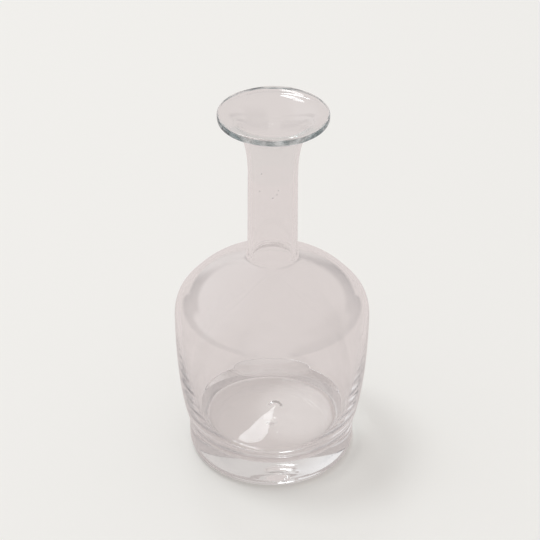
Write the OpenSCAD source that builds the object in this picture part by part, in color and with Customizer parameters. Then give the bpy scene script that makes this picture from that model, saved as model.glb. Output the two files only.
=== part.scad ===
// Clear glass decanter, turned about the Z axis and standing on Z = 0.
// A heavy foot carries a blown bowl, and a straight neck is sealed on its shoulder. A lip
// flares out over the neck to a thick edge. A pontil mark is left under the foot.

/* [Foot] */
// Diameter of the foot
foot_d = 97.4; // [94:0.2:102]
// Height of the foot, up to the crease under the bowl
foot_h = 20; // [19:0.5:22]
// Rounding of the foot's lower edge
foot_edge_r = 6.5; // [3:0.5:9]
// Depth of the crease between foot and bowl, measured in from the foot's side
crease_in = 0.3; // [0.2:0.1:1]
// Height of the dished seat's middle, where the bowl is sealed into the foot
seat_h = 8.5; // [8:0.5:10]
// Diameter of the hollow under the foot
hollow_d = 70; // [60:1:76]
// Depth of the hollow under the foot
hollow_h = 2.2; // [1.6:0.1:3]

/* [Pontil mark] */
// Diameter of the button of glass left by the pontil iron
pontil_d = 9; // [7:0.5:14]
// Thickness of that button
pontil_h = 0.5; // [0.4:0.1:1]

/* [Bowl] */
// Greatest diameter of the bowl
bowl_d = 112; // [108:0.5:116]
// Height of that greatest diameter
bowl_wide_z = 90.7; // [88:0.1:93]
// Thickness of the bowl's wall
bowl_wall = 2.6; // [2.2:0.1:3]
// Radius of the small rounding just over the crease
heel_r = 0.6; // [0.4:0.1:1]
// Diameter at the knee, where the shoulder bends over towards the neck
knee_d = 95.7; // [94:0.1:97]
// Height of the knee
knee_z = 109.2; // [108:0.1:110]
// Thickness of the bowl's floor at its edge
floor_t = 7; // [5.5:0.5:8]
// Diameter of the floor's edge, where the cone of the floor ends in a groove
floor_d = 70; // [66:1:72]
// Height of the floor's tip over its edge
kick_h = 6.8; // [5:0.2:9]

/* [Neck] */
// Diameter of the shoulder where it starts to turn up into the neck
collar_d = 35; // [33:0.5:37]
// Height of that turn, up to the seal under the neck
collar_h = 4; // [3:0.5:5]
// Height of the seal between shoulder and neck
seal_z = 133; // [131:0.5:135]
// Diameter of the neck at its foot
neck_d = 28.2; // [27:0.1:29]
// Diameter of the neck where the lip is sealed on
neck_top_d = 27.6; // [27:0.1:29]
// Diameter of the neck's straight bore
bore_d = 23.2; // [22:0.1:24]
// Height of the seal between neck and lip
flare_z = 184; // [178:0.5:188]

/* [Lip] */
// Overall height of the decanter
total_h = 223; // [220:0.5:230]
// Diameter over the lip
lip_d = 61; // [58:0.5:64]
// Thickness of the lip at its edge
lip_t = 4.2; // [3.6:0.2:4.8]
// Rounding of the edge's two corners
lip_corner_r = 1.4; // [0.8:0.2:1.6]

/* [Hidden] */
$fn = 96;

glass = [0.86, 0.88, 0.87, 0.45];
thick_glass = [0.74, 0.80, 0.79, 0.6];

foot_r = foot_d / 2;
crease_r = foot_r - crease_in;
pontil_r = pontil_d / 2;
bowl_r = bowl_d / 2;
floor_z = seat_h + floor_t;
bore_r = bore_d / 2;
corner_mid_r = lip_d / 2 - lip_corner_r;

// Ways along which the outlines run, as angles from the horizontal
wall_angle = 72.5;
knee_angle = 50;
shoulder_angle = 27;
seat_angle = 64;
inner_wall_angle = 81.5;
groove_angle = 45;
lip_angle = 4.5;
hollow_angle = 7.5;
pontil_angle = 2.5;

// Unit vector of a way outwards and up, outwards and down, or straight up
function out_up(angle) = [cos(angle), sin(angle)];
function out_down(angle) = [cos(angle), -sin(angle)];
up = [0, 1];
out = [1, 0];

// How far each curve keeps to its first and its last way before it bends
seat_pull = [7.2, 10];
hollow_pull = [10, 10];
pontil_pull = [2, 2];
wall_pull = [14.1, 33];
shoulder_pull = [11, 7.1];
dome_pull = [11.5, 12];
collar_pull = [2.6, 2.2];
throat_pull = [3.6, 3];
dome_in_pull = [11.9, 10.9];
shoulder_in_pull = [7.1, 9.9];
wall_in_pull = [20, 12];
corner_pull = [14, 7];
groove_pull = [1.8, 1.8];
flare_out_pull = [17, 12.3];
flare_in_pull = [14.7, 16];

// Number of steps in small corners, and in the long flare of the lip
corner_steps = 6;
flare_steps = 16;

// Points of a circular arc about c, turning from angle a to angle b
function arc(c, r, a, b, steps = 8) =
    [for (i = [0 : steps]) let (t = a + (b - a) * i / steps) c + r * [cos(t), sin(t)]];

// Points of a cubic curve after its first point p, leaving and arriving along two ways
function curve(p, leave, q, arrive, pull, steps = 10) =
    let (p1 = p + pull[0] * leave, q1 = q - pull[1] * arrive)
    [for (i = [1 : steps]) let (t = i / steps, u = 1 - t)
        u * u * u * p + 3 * t * u * u * p1 + 3 * t * t * u * q1 + t * t * t * q];

// The same points from last to first
function reversed(points) = [for (i = [len(points) - 1 : -1 : 0]) points[i]];

// Dished seat where the bowl is sealed into the foot, from the crease to the middle
crease = [crease_r, foot_h];
seat_flat_in = 19.5;
seat_flat = [crease_r - seat_flat_in, seat_h];
seat = concat(curve(crease, -out_up(seat_angle), seat_flat, -out, seat_pull), [[0, seat_h]]);

// Hollow under the foot, from the flat of the pontil mark to the standing ring
hollow_flat_w = 1.5;
hollow_flat = [pontil_r + hollow_flat_w, hollow_h];
hollow = concat([[0, hollow_h], hollow_flat],
    curve(hollow_flat, out, [hollow_d / 2, 0], out_down(hollow_angle), hollow_pull));

// Outer outline of the bowl, from the heel's end to the seal
heel_mid = [crease_r, foot_h + heel_r];
heel_end = heel_mid + heel_r * [sin(wall_angle), -cos(wall_angle)];
wide = [bowl_r, bowl_wide_z];
knee = [knee_d / 2, knee_z];
collar = [collar_d / 2, seal_z - collar_h];
seal_out = [neck_d / 2, seal_z];
wall_out = curve(heel_end, out_up(wall_angle), wide, up, wall_pull);
shoulder_out = curve(wide, up, knee, -out_down(knee_angle), shoulder_pull);
dome_out = curve(knee, -out_down(knee_angle), collar, -out_down(shoulder_angle), dome_pull);
collar_out = curve(collar, -out_down(shoulder_angle), seal_out, up, collar_pull);

// Inner outline of the bowl, from the seal down to the tip of the floor
wall_foot_in = 3.4;
wall_foot_up = 30;
groove_w = 4;
groove_up = 1.3;
seal_in = [bore_r, seal_z];
dome_end = collar - bowl_wall * [sin(shoulder_angle), cos(shoulder_angle)];
knee_in = knee - bowl_wall * [sin(knee_angle), cos(knee_angle)];
wide_in = wide - bowl_wall * out;
wall_foot = [wide_in[0] - wall_foot_in, floor_z + wall_foot_up];
groove_end = [floor_d / 2 + groove_w, floor_z + groove_up];
floor_edge = [floor_d / 2, floor_z];
floor_tip = [0, floor_z + kick_h];
cone = (floor_tip - floor_edge) / norm(floor_tip - floor_edge);
throat_in = curve(seal_in, -up, dome_end, out_down(shoulder_angle), throat_pull);
dome_in = curve(dome_end, out_down(shoulder_angle), knee_in, out_down(knee_angle), dome_in_pull);
shoulder_in = curve(knee_in, out_down(knee_angle), wide_in, -up, shoulder_in_pull);
wall_in = curve(wide_in, -up, wall_foot, -out_up(inner_wall_angle), wall_in_pull);
corner_in = curve(wall_foot, -out_up(inner_wall_angle), groove_end, -out_up(groove_angle), corner_pull);
groove = curve(groove_end, -out_up(groove_angle), floor_edge, cone, groove_pull);

// Outlines of the neck and of the flared lip
neck_top = [neck_top_d / 2, flare_z];
bore_top = [bore_r, flare_z];
edge = concat(
    arc([corner_mid_r, total_h - lip_t + lip_corner_r], lip_corner_r, -90, 0, corner_steps),
    arc([corner_mid_r, total_h - lip_corner_r], lip_corner_r, 0, 90, corner_steps));
edge_low = edge[0];
edge_high = edge[len(edge) - 1];
flare_out = curve(neck_top, up, edge_low, out_up(lip_angle), flare_out_pull, flare_steps);
flare_in = curve(edge_high, -out_up(lip_angle), bore_top, -up, flare_in_pull, flare_steps);

// Heavy disc of clear glass, dished on top and hollowed underneath so that it stands on a ring
module foot()
    color(thick_glass)
        rotate_extrude()
            polygon(concat(
                hollow,
                arc([foot_r - foot_edge_r, foot_edge_r], foot_edge_r, -90, 0),
                arc([crease_r, foot_h - crease_in], crease_in, 0, 90, corner_steps),
                seat));

// Button of glass where the pontil iron was broken off, inside the hollow of the foot
module pontil_mark()
    color(thick_glass)
        rotate_extrude()
            polygon(concat(
                [[0, hollow_h], [pontil_r, hollow_h]],
                curve([pontil_r, hollow_h], -out_up(pontil_angle), [0, hollow_h - pontil_h], -out,
                    pontil_pull)));

// Blown bowl with its thick kicked-up floor, domed shoulder and short collar under the neck
module bowl()
    color(glass)
        rotate_extrude()
            polygon(concat(
                reversed(seat),
                arc(heel_mid, heel_r, -90, wall_angle - 90, corner_steps),
                wall_out,
                shoulder_out,
                dome_out,
                collar_out,
                [seal_in],
                throat_in,
                dome_in,
                shoulder_in,
                wall_in,
                corner_in,
                groove,
                [floor_tip]));

// Straight tube of the neck, with a true bore
module neck()
    color(glass)
        rotate_extrude()
            polygon([seal_out, neck_top, bore_top, seal_in]);

// Flared lip sealed on the neck, with a thick edge softened in the fire
module lip()
    color(thick_glass)
        rotate_extrude()
            polygon(concat(
                [neck_top],
                flare_out,
                edge,
                flare_in));

foot();
pontil_mark();
bowl();
neck();
lip();
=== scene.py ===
from math import atan2, cos, exp, pi, radians, sin

import bpy
from mathutils import Matrix, Vector
from mathutils.geometry import intersect_point_line


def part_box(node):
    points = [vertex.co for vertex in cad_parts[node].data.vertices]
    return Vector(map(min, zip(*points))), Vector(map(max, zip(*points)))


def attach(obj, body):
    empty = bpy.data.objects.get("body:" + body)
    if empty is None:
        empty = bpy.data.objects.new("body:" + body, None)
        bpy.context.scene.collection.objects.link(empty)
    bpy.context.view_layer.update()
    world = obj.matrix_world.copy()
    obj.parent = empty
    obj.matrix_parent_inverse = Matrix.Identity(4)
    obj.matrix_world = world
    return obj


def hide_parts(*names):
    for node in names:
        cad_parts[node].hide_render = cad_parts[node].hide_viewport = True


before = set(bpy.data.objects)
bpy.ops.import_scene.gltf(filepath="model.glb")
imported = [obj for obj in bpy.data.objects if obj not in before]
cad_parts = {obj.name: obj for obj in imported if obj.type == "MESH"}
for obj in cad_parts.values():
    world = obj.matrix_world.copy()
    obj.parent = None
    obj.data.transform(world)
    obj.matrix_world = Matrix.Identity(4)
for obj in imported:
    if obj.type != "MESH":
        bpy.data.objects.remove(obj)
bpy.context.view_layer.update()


# Foot
# A heavy disc of clear glass, gathered hot under the bowl and flattened on the marver.
# Its edges are rounded in the fire, and it is hollowed underneath so that it stands on a ring.
# The bowl is sealed into its dished top, up to a crease that shows outside all round.
MM = 0.001
foot_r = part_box("foot")[1].x
foot_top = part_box("foot")[1].z
foot_edge_r = 6.5 * MM
crease_in = 0.3 * MM
crease_r = foot_r - crease_in
seat_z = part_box("bowl")[0].z
seat_flat_in = 19.5 * MM
hollow_r = 35 * MM
hollow_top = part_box("pontil_mark")[1].z
hollow_flat_w = 1.5 * MM
pontil_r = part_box("pontil_mark")[1].x

# How far a curve is pulled along its first and its last way, in mm outwards and up
seat_pulls = ((-3.2, -6.5), (-10, 0))
hollow_pulls = ((10, 0), (10, -1.3))

# The ring it stands on lets less light through to the table, a painted contact shadow under the edge
# of the foot
ring_h = 3.5 * MM
ring_w = 3.6 * MM
foot_tint = (0.975, 0.98, 0.978)
foot_shade = (0.2, 0.18, 0.17)
ring_tint = (0.95, 0.94, 0.935)
ring_shade = (0.25, 0.2, 0.19)
ring_shadow_clear = (0.42, 0.35, 0.33)

spin_steps = 240
merge_gap = 0.002 * MM
smooth_angle = radians(40)
seal_gap = 0.03 * MM


def arc(centre, radius, start, stop, steps):
    """Points of a circular arc in the half outline, with its angles in degrees."""
    turns = [radians(start + (stop - start) * i / steps) for i in range(steps + 1)]
    return [Vector((centre[0] + radius * cos(t), centre[1] + radius * sin(t))) for t in turns]


def curve(first, last, pulls, steps):
    """Points of a cubic curve in the half outline, after its first point."""
    leave, arrive = pulls
    corners = (first, first + Vector(leave) * MM, last - Vector(arrive) * MM, last)
    points = []
    for i in range(1, steps + 1):
        t = i / steps
        weights = ((1 - t) ** 3, 3 * t * (1 - t) ** 2, 3 * t * t * (1 - t), t ** 3)
        points.append(sum((w * p for w, p in zip(weights, corners)), Vector((0, 0))))
    return points


def turn(name, outline):
    """Draws a half outline point by point and spins it round the axis into a closed piece."""
    bpy.ops.object.select_all(action="DESELECT")
    bpy.ops.mesh.primitive_plane_add(size=MM)
    piece = bpy.context.object
    piece.name = name
    bpy.ops.object.mode_set(mode="EDIT")
    bpy.ops.mesh.select_all(action="SELECT")
    bpy.ops.mesh.merge(type="CENTER")
    bpy.ops.transform.translate(value=(outline[0].x, 0, outline[0].y))
    for here, there in zip(outline, outline[1:]):
        step = (there.x - here.x, 0, there.y - here.y)
        bpy.ops.mesh.extrude_region_move(TRANSFORM_OT_translate={"value": step})
    bpy.ops.mesh.select_all(action="SELECT")
    bpy.ops.mesh.spin(steps=spin_steps, angle=2 * pi, center=(0, 0, 0), axis=(0, 0, 1))
    bpy.ops.mesh.select_all(action="SELECT")
    bpy.ops.mesh.remove_doubles(threshold=merge_gap)
    bpy.ops.mesh.normals_make_consistent(inside=False)
    bpy.ops.object.mode_set(mode="OBJECT")
    bpy.ops.object.shade_smooth_by_angle(angle=smooth_angle)
    return piece


def clear_glass(name, tint, shade, clear=(0.98, 0.975, 0.97)):
    """Clear glass, faintly uneven from hand work. Lamps shine through it, less so at a slant."""
    material = bpy.data.materials.new(name)
    material.use_nodes = True
    nodes, links = material.node_tree.nodes, material.node_tree.links
    shader = nodes["Principled BSDF"]
    shader.inputs["Base Color"].default_value = (*tint, 1)
    shader.inputs["Roughness"].default_value = 0.0
    shader.inputs["IOR"].default_value = 1.52
    shader.inputs["Transmission Weight"].default_value = 1.0

    place = nodes.new("ShaderNodeTexCoord")
    ripple = nodes.new("ShaderNodeTexNoise")
    ripple.inputs["Scale"].default_value = 45
    ripple.inputs["Detail"].default_value = 1
    bump = nodes.new("ShaderNodeBump")
    bump.inputs["Strength"].default_value = 0.03
    bump.inputs["Distance"].default_value = 0.4 * MM
    links.new(place.outputs["Object"], ripple.inputs["Vector"])
    links.new(ripple.outputs["Fac"], bump.inputs["Height"])
    links.new(bump.outputs["Normal"], shader.inputs["Normal"])

    slant = nodes.new("ShaderNodeLayerWeight")
    slant_share = nodes.new("ShaderNodeMapRange")
    slant_share.inputs["From Min"].default_value = 0.25
    slant_share.inputs["From Max"].default_value = 0.85
    lamp_tone = nodes.new("ShaderNodeMix")
    lamp_tone.data_type = "RGBA"
    lamp_tone.inputs["A"].default_value = (*clear, 1)
    lamp_tone.inputs["B"].default_value = (*shade, 1)
    lamp_clear = nodes.new("ShaderNodeBsdfTransparent")
    links.new(slant.outputs["Facing"], slant_share.inputs["Value"])
    links.new(slant_share.outputs["Result"], lamp_tone.inputs["Factor"])
    links.new(lamp_tone.outputs["Result"], lamp_clear.inputs["Color"])

    lamp_path = nodes.new("ShaderNodeLightPath")
    lit_through = nodes.new("ShaderNodeMath")
    mix = nodes.new("ShaderNodeMixShader")
    links.new(lamp_path.outputs["Is Shadow Ray"], lit_through.inputs[0])
    links.new(lamp_path.outputs["Is Diffuse Ray"], lit_through.inputs[1])
    links.new(lit_through.outputs[0], mix.inputs["Fac"])
    links.new(shader.outputs["BSDF"], mix.inputs[1])
    links.new(lamp_clear.outputs["BSDF"], mix.inputs[2])
    links.new(mix.outputs["Shader"], nodes["Material Output"].inputs["Surface"])
    return material


# Where two pieces were sealed hot there is no surface left to bend the light
sealed_hot = bpy.data.materials.new("sealed_hot")
sealed_hot.use_nodes = True
sealed_nodes = sealed_hot.node_tree.nodes
sealed_nodes.remove(sealed_nodes["Principled BSDF"])
sealed_shader = sealed_nodes.new("ShaderNodeBsdfTransparent")
sealed_hot.node_tree.links.new(
    sealed_shader.outputs["BSDF"], sealed_nodes["Material Output"].inputs["Surface"])


def on_line(spot, line):
    """Whether a spot of the half outline lies on this part of it."""
    for here, there in zip(line, line[1:]):
        nearest, share = intersect_point_line(spot, here, there)
        if 0 <= share <= 1 and (spot - nearest.xy).length < seal_gap:
            return True
    return False


def finish_glass(piece, material, node, seals):
    """Gives a piece its glass, its sealed faces and its place in the frame."""
    piece.data.materials.append(material)
    piece.data.materials.append(sealed_hot)
    sealed = {}
    for face in piece.data.polygons:
        # The faces of one ring share a spot in the half outline, to a hundredth of a mm
        ring = (round(face.center.xy.length, 5), round(face.center.z, 5))
        if ring not in sealed:
            sealed[ring] = any(on_line(Vector(ring), line) for line in seals)
        face.material_index = int(sealed[ring])
    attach(piece, "root")
    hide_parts(node)


crease = Vector((crease_r, foot_top))
seat_flat = Vector((crease_r - seat_flat_in, seat_z))
seat = [crease] + curve(crease, seat_flat, seat_pulls, steps=24) + [Vector((0, seat_z))]
pontil_seal = [Vector((0, hollow_top)), Vector((pontil_r, hollow_top))]
hollow_flat = Vector((pontil_r + hollow_flat_w, hollow_top))
hollow_end = Vector((hollow_r, 0))

foot_outline = pontil_seal + [hollow_flat]
foot_outline += curve(hollow_flat, hollow_end, hollow_pulls, steps=28)
foot_outline += arc((foot_r - foot_edge_r, foot_edge_r), foot_edge_r, -90, 0, steps=24)
foot_outline += arc((crease_r, foot_top - crease_in), crease_in, 0, 90, steps=10)
foot_outline += seat[1:]
foot = turn("foot_glass", foot_outline)
foot_clear = clear_glass("foot_clear_glass", foot_tint, foot_shade)
finish_glass(foot, foot_clear, "foot", [seat, pontil_seal])

# The standing ring's glass dims the light below it, to paint that contact shadow
ring_shadow_glass = clear_glass("standing_ring_shadow_glass", ring_tint, ring_shade, ring_shadow_clear)
ring_slot = len(foot.data.materials)
foot.data.materials.append(ring_shadow_glass)
for face in foot.data.polygons:
    if face.center.z < ring_h and face.center.xy.length > foot_r - ring_w:
        face.material_index = ring_slot


# Pontil mark
# A button of clear glass, left in the hollow where the pontil iron was twisted off.
# It is melted smooth and sits on the flat in the middle of the hollow.
pontil_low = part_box("pontil_mark")[0].z
pontil_pulls = ((-2, -0.08), (-2, 0))
pontil_tint = (0.96, 0.97, 0.965)
pontil_shade = (0.4, 0.37, 0.36)

pontil_outline = pontil_seal + curve(pontil_seal[1], Vector((0, pontil_low)), pontil_pulls, steps=20)
pontil = turn("pontil_mark_glass", pontil_outline)
pontil_clear = clear_glass("pontil_clear_glass", pontil_tint, pontil_shade)
finish_glass(pontil, pontil_clear, "pontil_mark", [pontil_seal])


# Bowl
# The body of the decanter, blown as one bubble of clear glass with a thick floor.
# Its floor is kicked up in the middle by an iron, whose twist is left at the tip.
# Its heel is sealed into the foot, and it is drawn in at the shoulder to take the neck.
bowl_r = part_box("bowl")[1].x
bowl_wide_z = 90.7 * MM
bowl_wall = 2.6 * MM
heel_r = 0.6 * MM
knee_r = 47.85 * MM
knee_z = 109.2 * MM
collar_r = 17.5 * MM
collar_h = 4 * MM
seal_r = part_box("neck")[1].x
seal_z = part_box("neck")[0].z
bore_r = 11.6 * MM
wall_foot_in = 3.4 * MM
wall_foot_up = 30 * MM
groove_r = 39 * MM
groove_up = 1.3 * MM
floor_r = 35 * MM
floor_z = seat_z + 7 * MM
kick_h = 6.8 * MM
kick_aside = 2.5 * MM
bowl_tint = (0.985, 0.985, 0.983)
wall_shade = (0.5, 0.47, 0.46)


def slanted(angle):
    """A way outwards and up at an angle in degrees, or outwards and down below zero."""
    return Vector((cos(radians(angle)), sin(radians(angle))))


wall_lean = 17.5
lean = slanted(90 - wall_lean)
knee_slope = slanted(-50)
shoulder_slope = slanted(-27)
groove_rise = slanted(45)

wide = Vector((bowl_r, bowl_wide_z))
knee = Vector((knee_r, knee_z))
shoulder_end = Vector((collar_r, seal_z - collar_h))
seal_out = Vector((seal_r, seal_z))
seal_in = Vector((bore_r, seal_z))
neck_seal = [seal_out, seal_in]
dome_end = shoulder_end + bowl_wall * Vector((shoulder_slope.y, -shoulder_slope.x))
knee_in = knee + bowl_wall * Vector((knee_slope.y, -knee_slope.x))
wide_in = Vector((bowl_r - bowl_wall, bowl_wide_z))
wall_foot = Vector((bowl_r - bowl_wall - wall_foot_in, floor_z + wall_foot_up))
groove_end = Vector((groove_r, floor_z + groove_up))
floor_edge = Vector((floor_r, floor_z))
floor_mid = Vector((0, floor_z + kick_h))
cone = (floor_mid - floor_edge).normalized()

wall_pulls = (14.1 * lean, (0, 33))
shoulder_pulls = ((0, 11), -7.1 * knee_slope)
dome_pulls = (-11.5 * knee_slope, -12 * shoulder_slope)
collar_pulls = (-2.6 * shoulder_slope, (0, 2.2))
throat_pulls = ((0, -3.6), 3 * shoulder_slope)
dome_in_pulls = (11.9 * shoulder_slope, 10.9 * knee_slope)
shoulder_in_pulls = (7.1 * knee_slope, (0, -9.9))
wall_in_pulls = ((0, -20), (-1.8, -12))
corner_in_pulls = ((-2.1, -14), -7 * groove_rise)
groove_pulls = (-1.8 * groove_rise, 1.8 * cone)

# The floor has finer rings from here in, where the twist is
twist_reach = 10 * MM
tip_reach = 0.6 * MM
floor_rings = 10
twist_rings = 30
twist_start = floor_mid - twist_reach * cone
tip_start = floor_mid - tip_reach * cone

heel = arc((crease_r, foot_top + heel_r), heel_r, -90, -wall_lean, steps=14)
bowl_outline = seat[::-1] + heel[1:]
bowl_outline += curve(heel[-1], wide, wall_pulls, steps=36)
bowl_outline += curve(wide, knee, shoulder_pulls, steps=26)
bowl_outline += curve(knee, shoulder_end, dome_pulls, steps=20)
bowl_outline += curve(shoulder_end, seal_out, collar_pulls, steps=20)
bowl_outline += [seal_in]
bowl_outline += curve(seal_in, dome_end, throat_pulls, steps=24)
bowl_outline += curve(dome_end, knee_in, dome_in_pulls, steps=20)
bowl_outline += curve(knee_in, wide_in, shoulder_in_pulls, steps=26)
bowl_outline += curve(wide_in, wall_foot, wall_in_pulls, steps=30)
bowl_outline += curve(wall_foot, groove_end, corner_in_pulls, steps=44)
bowl_outline += curve(groove_end, floor_edge, groove_pulls, steps=16)
bowl_outline += [floor_edge.lerp(twist_start, i / floor_rings) for i in range(1, floor_rings + 1)]
bowl_outline += [twist_start.lerp(tip_start, i / twist_rings) for i in range(1, twist_rings + 1)]
bowl_outline += [floor_mid]
bowl = turn("bowl_glass", bowl_outline)

# The tip of the floor stands a little to one side. The twist that the iron left runs half
# round it, with a fainter one outside, and a drip lies beside them.
twist_ring = 3.6 * MM
twist_w = 0.7 * MM
twist_h = 1.5 * MM
twist_turn = 0.2
outer_ring = 8.2 * MM
outer_w = 0.9 * MM
outer_h = 0.3 * MM
drip = Vector((9, -10)) * MM
drip_w = 3.2 * MM
drip_h = 0.7 * MM


def ridge(distance, middle, width):
    """Share of its height that a soft ridge has at a distance."""
    return exp(-((distance - middle) / width) ** 2)


twist_rise = [0] * len(bowl.data.vertices)
for vert in bowl.data.vertices:
    reach = vert.co.xy.length
    if reach < floor_edge.x and floor_z - MM < vert.co.z < floor_mid.y + MM:
        way = atan2(vert.co.y, vert.co.x)
        twist = ridge(reach, twist_ring, twist_w) * max(0, sin(way + twist_turn)) ** 0.5
        outer_twist = ridge(reach, outer_ring, outer_w) * max(0, sin(2 * way)) * (way > 0)
        drop = ridge((vert.co.xy - drip).length, 0, drip_w)
        twist_rise[vert.index] = twist_h * twist
        vert.co.z += twist_rise[vert.index] + outer_h * outer_twist + drip_h * drop
        vert.co.x += kick_aside * (1 - reach / floor_edge.x)

bowl_clear = clear_glass("bowl_clear_glass", bowl_tint, wall_shade)
finish_glass(bowl, bowl_clear, "bowl", [seat, neck_seal])

# The higher faces of the twist have darker glass, a painted shade for the dark that the twist shows
# by bending the light
twist_shade_tint = (0.42, 0.4, 0.39)
twist_shade_from = 0.35 * MM
twist_painted_shade = clear_glass("twist_painted_shade_glass", twist_shade_tint, wall_shade)
twist_slot = len(bowl.data.materials)
bowl.data.materials.append(twist_painted_shade)
for face in bowl.data.polygons:
    if twist_rise[face.vertices[0]] > twist_shade_from:
        face.material_index = twist_slot


# Neck
# A slim straight tube of clear glass, drawn up from the shoulder and sealed on it.
# It has a true bore, and opens at its foot into the bowl.
neck_top_r = 13.8 * MM
neck_top = Vector((neck_top_r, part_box("neck")[1].z))
bore_top = Vector((bore_r, neck_top.y))
lip_seal = [neck_top, bore_top]
neck_rings = 12

neck_outline = [seal_out.lerp(neck_top, i / neck_rings) for i in range(neck_rings + 1)]
neck_outline += [bore_top.lerp(seal_in, i / neck_rings) for i in range(neck_rings + 1)]
neck_outline += [seal_out]
neck = turn("neck_glass", neck_outline)

# A few seeds of air were caught in its wall while it was drawn.
# Each has its way round in degrees, its height and its radius in mm.
seed_places = (
    (124, 179, 0.5),
    (130, 168, 0.4),
    (73, 167, 0.4),
    (270, 177, 0.5),
    (280, 179, 0.35),
)
seed_ring = (neck_top.x + bore_top.x) / 2
seeds = []
for way, height, seed_r in seed_places:
    spot = (seed_ring * cos(radians(way)), seed_ring * sin(radians(way)), height * MM)
    bpy.ops.mesh.primitive_uv_sphere_add(
        segments=20, ring_count=12, radius=seed_r * MM, location=spot)
    bpy.ops.object.shade_smooth()
    bpy.ops.object.mode_set(mode="EDIT")
    bpy.ops.mesh.select_all(action="SELECT")
    bpy.ops.mesh.flip_normals()
    bpy.ops.object.mode_set(mode="OBJECT")
    seeds.append(bpy.context.object)
for seed in seeds:
    seed.select_set(True)
neck.select_set(True)
bpy.context.view_layer.objects.active = neck
bpy.ops.object.join()

neck_clear = clear_glass("neck_clear_glass", bowl_tint, wall_shade)
finish_glass(neck, neck_clear, "neck", [neck_seal, lip_seal])


# Lip
# The flared mouth, opened out with the jacks and sealed on the neck.
# Its thick edge was softened in the fire, and its depth shows as a grey-green line, darkened in part
# by painted shade.
lip_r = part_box("lip")[1].x
lip_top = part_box("lip")[1].z
lip_t = 4.2 * MM
lip_corner_r = 1.4 * MM
corner_mid_r = lip_r - lip_corner_r
lip_edge = arc((corner_mid_r, lip_top - lip_t + lip_corner_r), lip_corner_r, -90, 0, steps=10)
lip_edge += arc((corner_mid_r, lip_top - lip_corner_r), lip_corner_r, 0, 90, steps=10)
edge_low, edge_high = lip_edge[0], lip_edge[-1]

# The flare bends over a little outside the neck's wall, just under the height of its edge
bend_out = 3 * MM
bend_in = 2.8 * MM
bend_under = 1 * MM
bend_low = Vector((neck_top.x + bend_out, edge_low.y - bend_under))
bend_high = Vector((bore_top.x + bend_in, edge_high.y - bend_under))
flare_out_pulls = ((0, 17), (edge_low - bend_low) / MM)
flare_in_pulls = ((bend_high - edge_high) / MM, (0, -16))

lip_outline = [bore_top, neck_top]
lip_outline += curve(neck_top, edge_low, flare_out_pulls, steps=44)
lip_outline += lip_edge[1:]
lip_outline += curve(edge_high, bore_top, flare_in_pulls, steps=44)
lip = turn("lip_glass", lip_outline)

# The edge was opened by hand, so it waves a little all round
wave_h = 0.11 * MM
long_waves = 5
long_turn = 1
short_waves = 11
short_share = 0.3
lift_waves = 7
lift_share = 0.6
for vert in lip.data.vertices:
    out = Vector((vert.co.x, vert.co.y, 0)).normalized()
    way = atan2(vert.co.y, vert.co.x)
    share = max(0, (vert.co.z - neck_top.y) / (lip_top - neck_top.y)) ** 3
    wave = sin(long_waves * way + long_turn) + short_share * sin(short_waves * way)
    lift = lift_share * sin(lift_waves * way)
    vert.co += wave_h * share * wave * (out + Vector((0, 0, lift)))

lip_tint = (0.97, 0.98, 0.976)
lip_clear = clear_glass("lip_clear_glass", lip_tint, wall_shade)
lip_clear.node_tree.nodes["Bump"].inputs["Strength"].default_value = 0.004
finish_glass(lip, lip_clear, "lip", [lip_seal])

# The outermost part of the edge is streaked grey-green: partly the glass's own green in its depth,
# partly painted shade for the dark line it shows
edge_green_and_shade = (0.15, 0.22, 0.23)
edge_pale = (0.72, 0.84, 0.86)
edge_w = 0.25 * lip_corner_r
edge_glass = clear_glass("lip_edge_glass", edge_green_and_shade, wall_shade)
edge_nodes, edge_links = edge_glass.node_tree.nodes, edge_glass.node_tree.links
edge_streak = edge_nodes.new("ShaderNodeTexNoise")
edge_streak.inputs["Scale"].default_value = 190
edge_streak.inputs["Detail"].default_value = 3
edge_depth = edge_nodes.new("ShaderNodeMapRange")
edge_depth.inputs["From Min"].default_value = 0.38
edge_depth.inputs["From Max"].default_value = 0.68
edge_tone = edge_nodes.new("ShaderNodeMix")
edge_tone.data_type = "RGBA"
edge_tone.inputs["A"].default_value = (*edge_green_and_shade, 1)
edge_tone.inputs["B"].default_value = (*edge_pale, 1)
edge_links.new(edge_nodes["Texture Coordinate"].outputs["Object"], edge_streak.inputs["Vector"])
edge_links.new(edge_streak.outputs["Fac"], edge_depth.inputs["Value"])
edge_links.new(edge_depth.outputs["Result"], edge_tone.inputs["Factor"])
edge_links.new(edge_tone.outputs["Result"], edge_nodes["Principled BSDF"].inputs["Base Color"])
edge_slot = len(lip.data.materials)
lip.data.materials.append(edge_glass)
for face in lip.data.polygons:
    if face.center.xy.length > lip_r - edge_w:
        face.material_index = edge_slot


# Floor
# A plain pale table top under soft light. The eye sees it evenly pale, with the object's shadow
# on it. Through the glass it has the slightly warmer, greyer tone of a paper backdrop.
seen_colour = (0.88, 0.885, 0.865)
seen_glow = (0.871, 0.863, 0.831)
seen_even = 0.33

# These hold for every ray that doesn't come straight from the eye
through_colour = (0.75, 0.695, 0.68)
through_glow = (0.73, 0.672, 0.66)
through_even = 0.5

bpy.ops.object.select_all(action="DESELECT")
bpy.ops.mesh.primitive_plane_add(size=8)
floor = bpy.context.object
floor.name = "floor"
floor_pale = bpy.data.materials.new("pale_floor")
floor_pale.use_nodes = True
floor_nodes, floor_links = floor_pale.node_tree.nodes, floor_pale.node_tree.links
floor_nodes.remove(floor_nodes["Principled BSDF"])
floor_path = floor_nodes.new("ShaderNodeLightPath")

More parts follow.
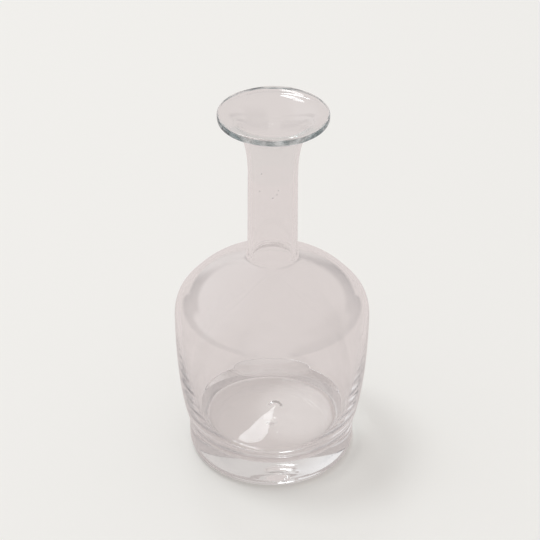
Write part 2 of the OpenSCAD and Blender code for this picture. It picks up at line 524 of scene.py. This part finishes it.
floor_colour = floor_nodes.new("ShaderNodeMix")
floor_colour.data_type = "RGBA"
floor_colour.inputs["A"].default_value = (*through_colour, 1)
floor_colour.inputs["B"].default_value = (*seen_colour, 1)
floor_matt = floor_nodes.new("ShaderNodeBsdfDiffuse")
floor_links.new(floor_path.outputs["Is Camera Ray"], floor_colour.inputs["Factor"])
floor_links.new(floor_colour.outputs["Result"], floor_matt.inputs["Color"])

floor_tone = floor_nodes.new("ShaderNodeMix")
floor_tone.data_type = "RGBA"
floor_tone.inputs["A"].default_value = (*through_glow, 1)
floor_tone.inputs["B"].default_value = (*seen_glow, 1)
floor_glow = floor_nodes.new("ShaderNodeEmission")
floor_links.new(floor_path.outputs["Is Camera Ray"], floor_tone.inputs["Factor"])
floor_links.new(floor_tone.outputs["Result"], floor_glow.inputs["Color"])

# Only where the eye sees it, directly, mirrored or through glass, is part of it evenly pale
seen_or_mirrored = floor_nodes.new("ShaderNodeMath")
seen_at_all = floor_nodes.new("ShaderNodeMath")
seen_at_all.use_clamp = True
even_by_ray = floor_nodes.new("ShaderNodeMix")
even_by_ray.inputs["A"].default_value = through_even
even_by_ray.inputs["B"].default_value = seen_even
even_share = floor_nodes.new("ShaderNodeMath")
even_share.operation = "MULTIPLY"
floor_mix = floor_nodes.new("ShaderNodeMixShader")
floor_links.new(floor_path.outputs["Is Camera Ray"], seen_or_mirrored.inputs[0])
floor_links.new(floor_path.outputs["Is Glossy Ray"], seen_or_mirrored.inputs[1])
floor_links.new(seen_or_mirrored.outputs[0], seen_at_all.inputs[0])
floor_links.new(floor_path.outputs["Is Transmission Ray"], seen_at_all.inputs[1])
floor_links.new(floor_path.outputs["Is Camera Ray"], even_by_ray.inputs["Factor"])
floor_links.new(seen_at_all.outputs[0], even_share.inputs[0])
floor_links.new(even_by_ray.outputs["Result"], even_share.inputs[1])
floor_links.new(even_share.outputs[0], floor_mix.inputs["Fac"])
floor_links.new(floor_matt.outputs["BSDF"], floor_mix.inputs[1])
floor_links.new(floor_glow.outputs["Emission"], floor_mix.inputs[2])
floor_links.new(floor_mix.outputs["Shader"], floor_nodes["Material Output"].inputs["Surface"])
floor.data.materials.append(floor_pale)


# Light
# A plain room, palest at the back left, and dark low down on the left and at the front right.
# A round lamp behind makes the glints, and a softer one from the upper left makes the shadow.
room_grey = (0.66, 0.625, 0.61, 1)
room_pale = (0.95, 0.94, 0.95, 1)
dark_right = (0.07, 0.07, 0.075, 1)
dark_low = (0.06, 0.07, 0.09, 1)
room = bpy.data.worlds.new("pale_room")
bpy.context.scene.world = room
room.use_nodes = True
room_nodes, room_links = room.node_tree.nodes, room.node_tree.links
room_way = room_nodes.new("ShaderNodeTexCoord")
room_split = room_nodes.new("ShaderNodeSeparateXYZ")
room_links.new(room_way.outputs["Generated"], room_split.inputs["Vector"])


def room_step(axis, start, stop):
    """A soft step from 0 to 1 along one axis of the room."""
    step = room_nodes.new("ShaderNodeMapRange")
    step.interpolation_type = "SMOOTHSTEP"
    step.inputs["From Min"].default_value = start
    step.inputs["From Max"].default_value = stop
    room_links.new(room_split.outputs[axis], step.inputs["Value"])
    return step.outputs["Result"]


def room_mix(kind, share, low, high):
    """Mixes two colours of the room by a share, where each may be a colour or a socket."""
    mix = room_nodes.new("ShaderNodeMix")
    mix.data_type = "RGBA"
    mix.blend_type = kind
    for name, value in (("Factor", share), ("A", low), ("B", high)):
        if isinstance(value, bpy.types.NodeSocket):
            room_links.new(value, mix.inputs[name])
        else:
            mix.inputs[name].default_value = value
    return mix.outputs["Result"]


back_left = room_mix("MULTIPLY", 1.0, room_step("X", -0.1, -0.75), room_step("Y", -0.5, 0.0))
left_pale = room_mix("MIX", back_left, room_grey, room_pale)
right_low = room_mix("MULTIPLY", 1.0, room_step("X", 0.2, 0.6), room_step("Z", 0.75, 0.4))
front_right = room_mix("MULTIPLY", 1.0, right_low, room_step("Y", 0.45, 0.0))
both_sides = room_mix("MIX", front_right, left_pale, dark_right)
near_front = room_mix("MULTIPLY", 1.0, room_step("X", -0.6, -0.4), room_step("X", 0.45, 0.28))
over_horizon = room_mix("LIGHTEN", 1.0, near_front, room_step("Z", 0.24, 0.33))
room_tone = room_mix("MIX", over_horizon, dark_low, both_sides)
room_links.new(room_tone, room_nodes["Background"].inputs["Color"])


def aim(lamp, spot):
    """Turns a lamp to look at a spot."""
    lamp.rotation_euler = (Vector(spot) - lamp.location).to_track_quat("-Z", "Y").to_euler()


def add_lamp(name, location, size, energy):
    """A round soft lamp that looks at the lower part of the bowl."""
    bpy.ops.object.light_add(type="AREA", location=location)
    lamp = bpy.context.object
    lamp.name = name
    lamp.data.shape = "DISK"
    lamp.data.size = size
    lamp.data.energy = energy
    aim(lamp, (0, 0, 0.06))
    return lamp


glint_lamp = add_lamp("glint_lamp", (-0.47, 1.48, 2.6), size=0.7, energy=7)
glint_lamp.data.color = (0.93, 0.98, 1.0)
shadow_lamp = add_lamp("shadow_lamp", (-1.2, 0.4, 3.8), size=1.2, energy=47)
shadow_lamp.visible_glossy = False
shadow_lamp.visible_transmission = False

# The bowl gathers light from the left under the right of its foot, and a narrow lamp stands for that
bpy.ops.object.light_add(type="SPOT", location=(-0.6, -0.2, 1.2))
gathered_lamp = bpy.context.object
gathered_lamp.name = "gathered_lamp"
gathered_lamp.data.energy = 36
gathered_lamp.data.color = (0.88, 1.0, 1.04)
gathered_lamp.data.spot_size = radians(3)
gathered_lamp.data.spot_blend = 1.0
aim(gathered_lamp, (0.024, 0.012, 0))
gathered_lamp.visible_glossy = False
gathered_lamp.visible_transmission = False

# In thick clear glass, light is turned back many times before it leaves
most_turns = 256
bpy.context.scene.cycles.max_bounces = most_turns
bpy.context.scene.cycles.transmission_bounces = most_turns
bpy.context.scene.cycles.glossy_bounces = most_turns
bpy.context.scene.cycles.transparent_max_bounces = most_turns


# Camera
# It looks down on the decanter from about a metre away, as the photograph does.
# Its lens and tilt were fitted to the outline of the decanter.
image_px = 540
focal_px = 1835
tilt_down = radians(34.03)
roll = radians(0.33)
bpy.ops.object.camera_add(location=(-0.0013, -0.8627, 0.7035))
camera = bpy.context.object
camera.data.sensor_width = 36
camera.data.lens = camera.data.sensor_width * focal_px / image_px
look = Matrix.Rotation(pi / 2 - tilt_down, 3, "X") @ Matrix.Rotation(roll, 3, "Z")
camera.rotation_euler = look.to_euler()
bpy.context.scene.camera = camera
bpy.context.scene.view_settings.view_transform = "Standard"
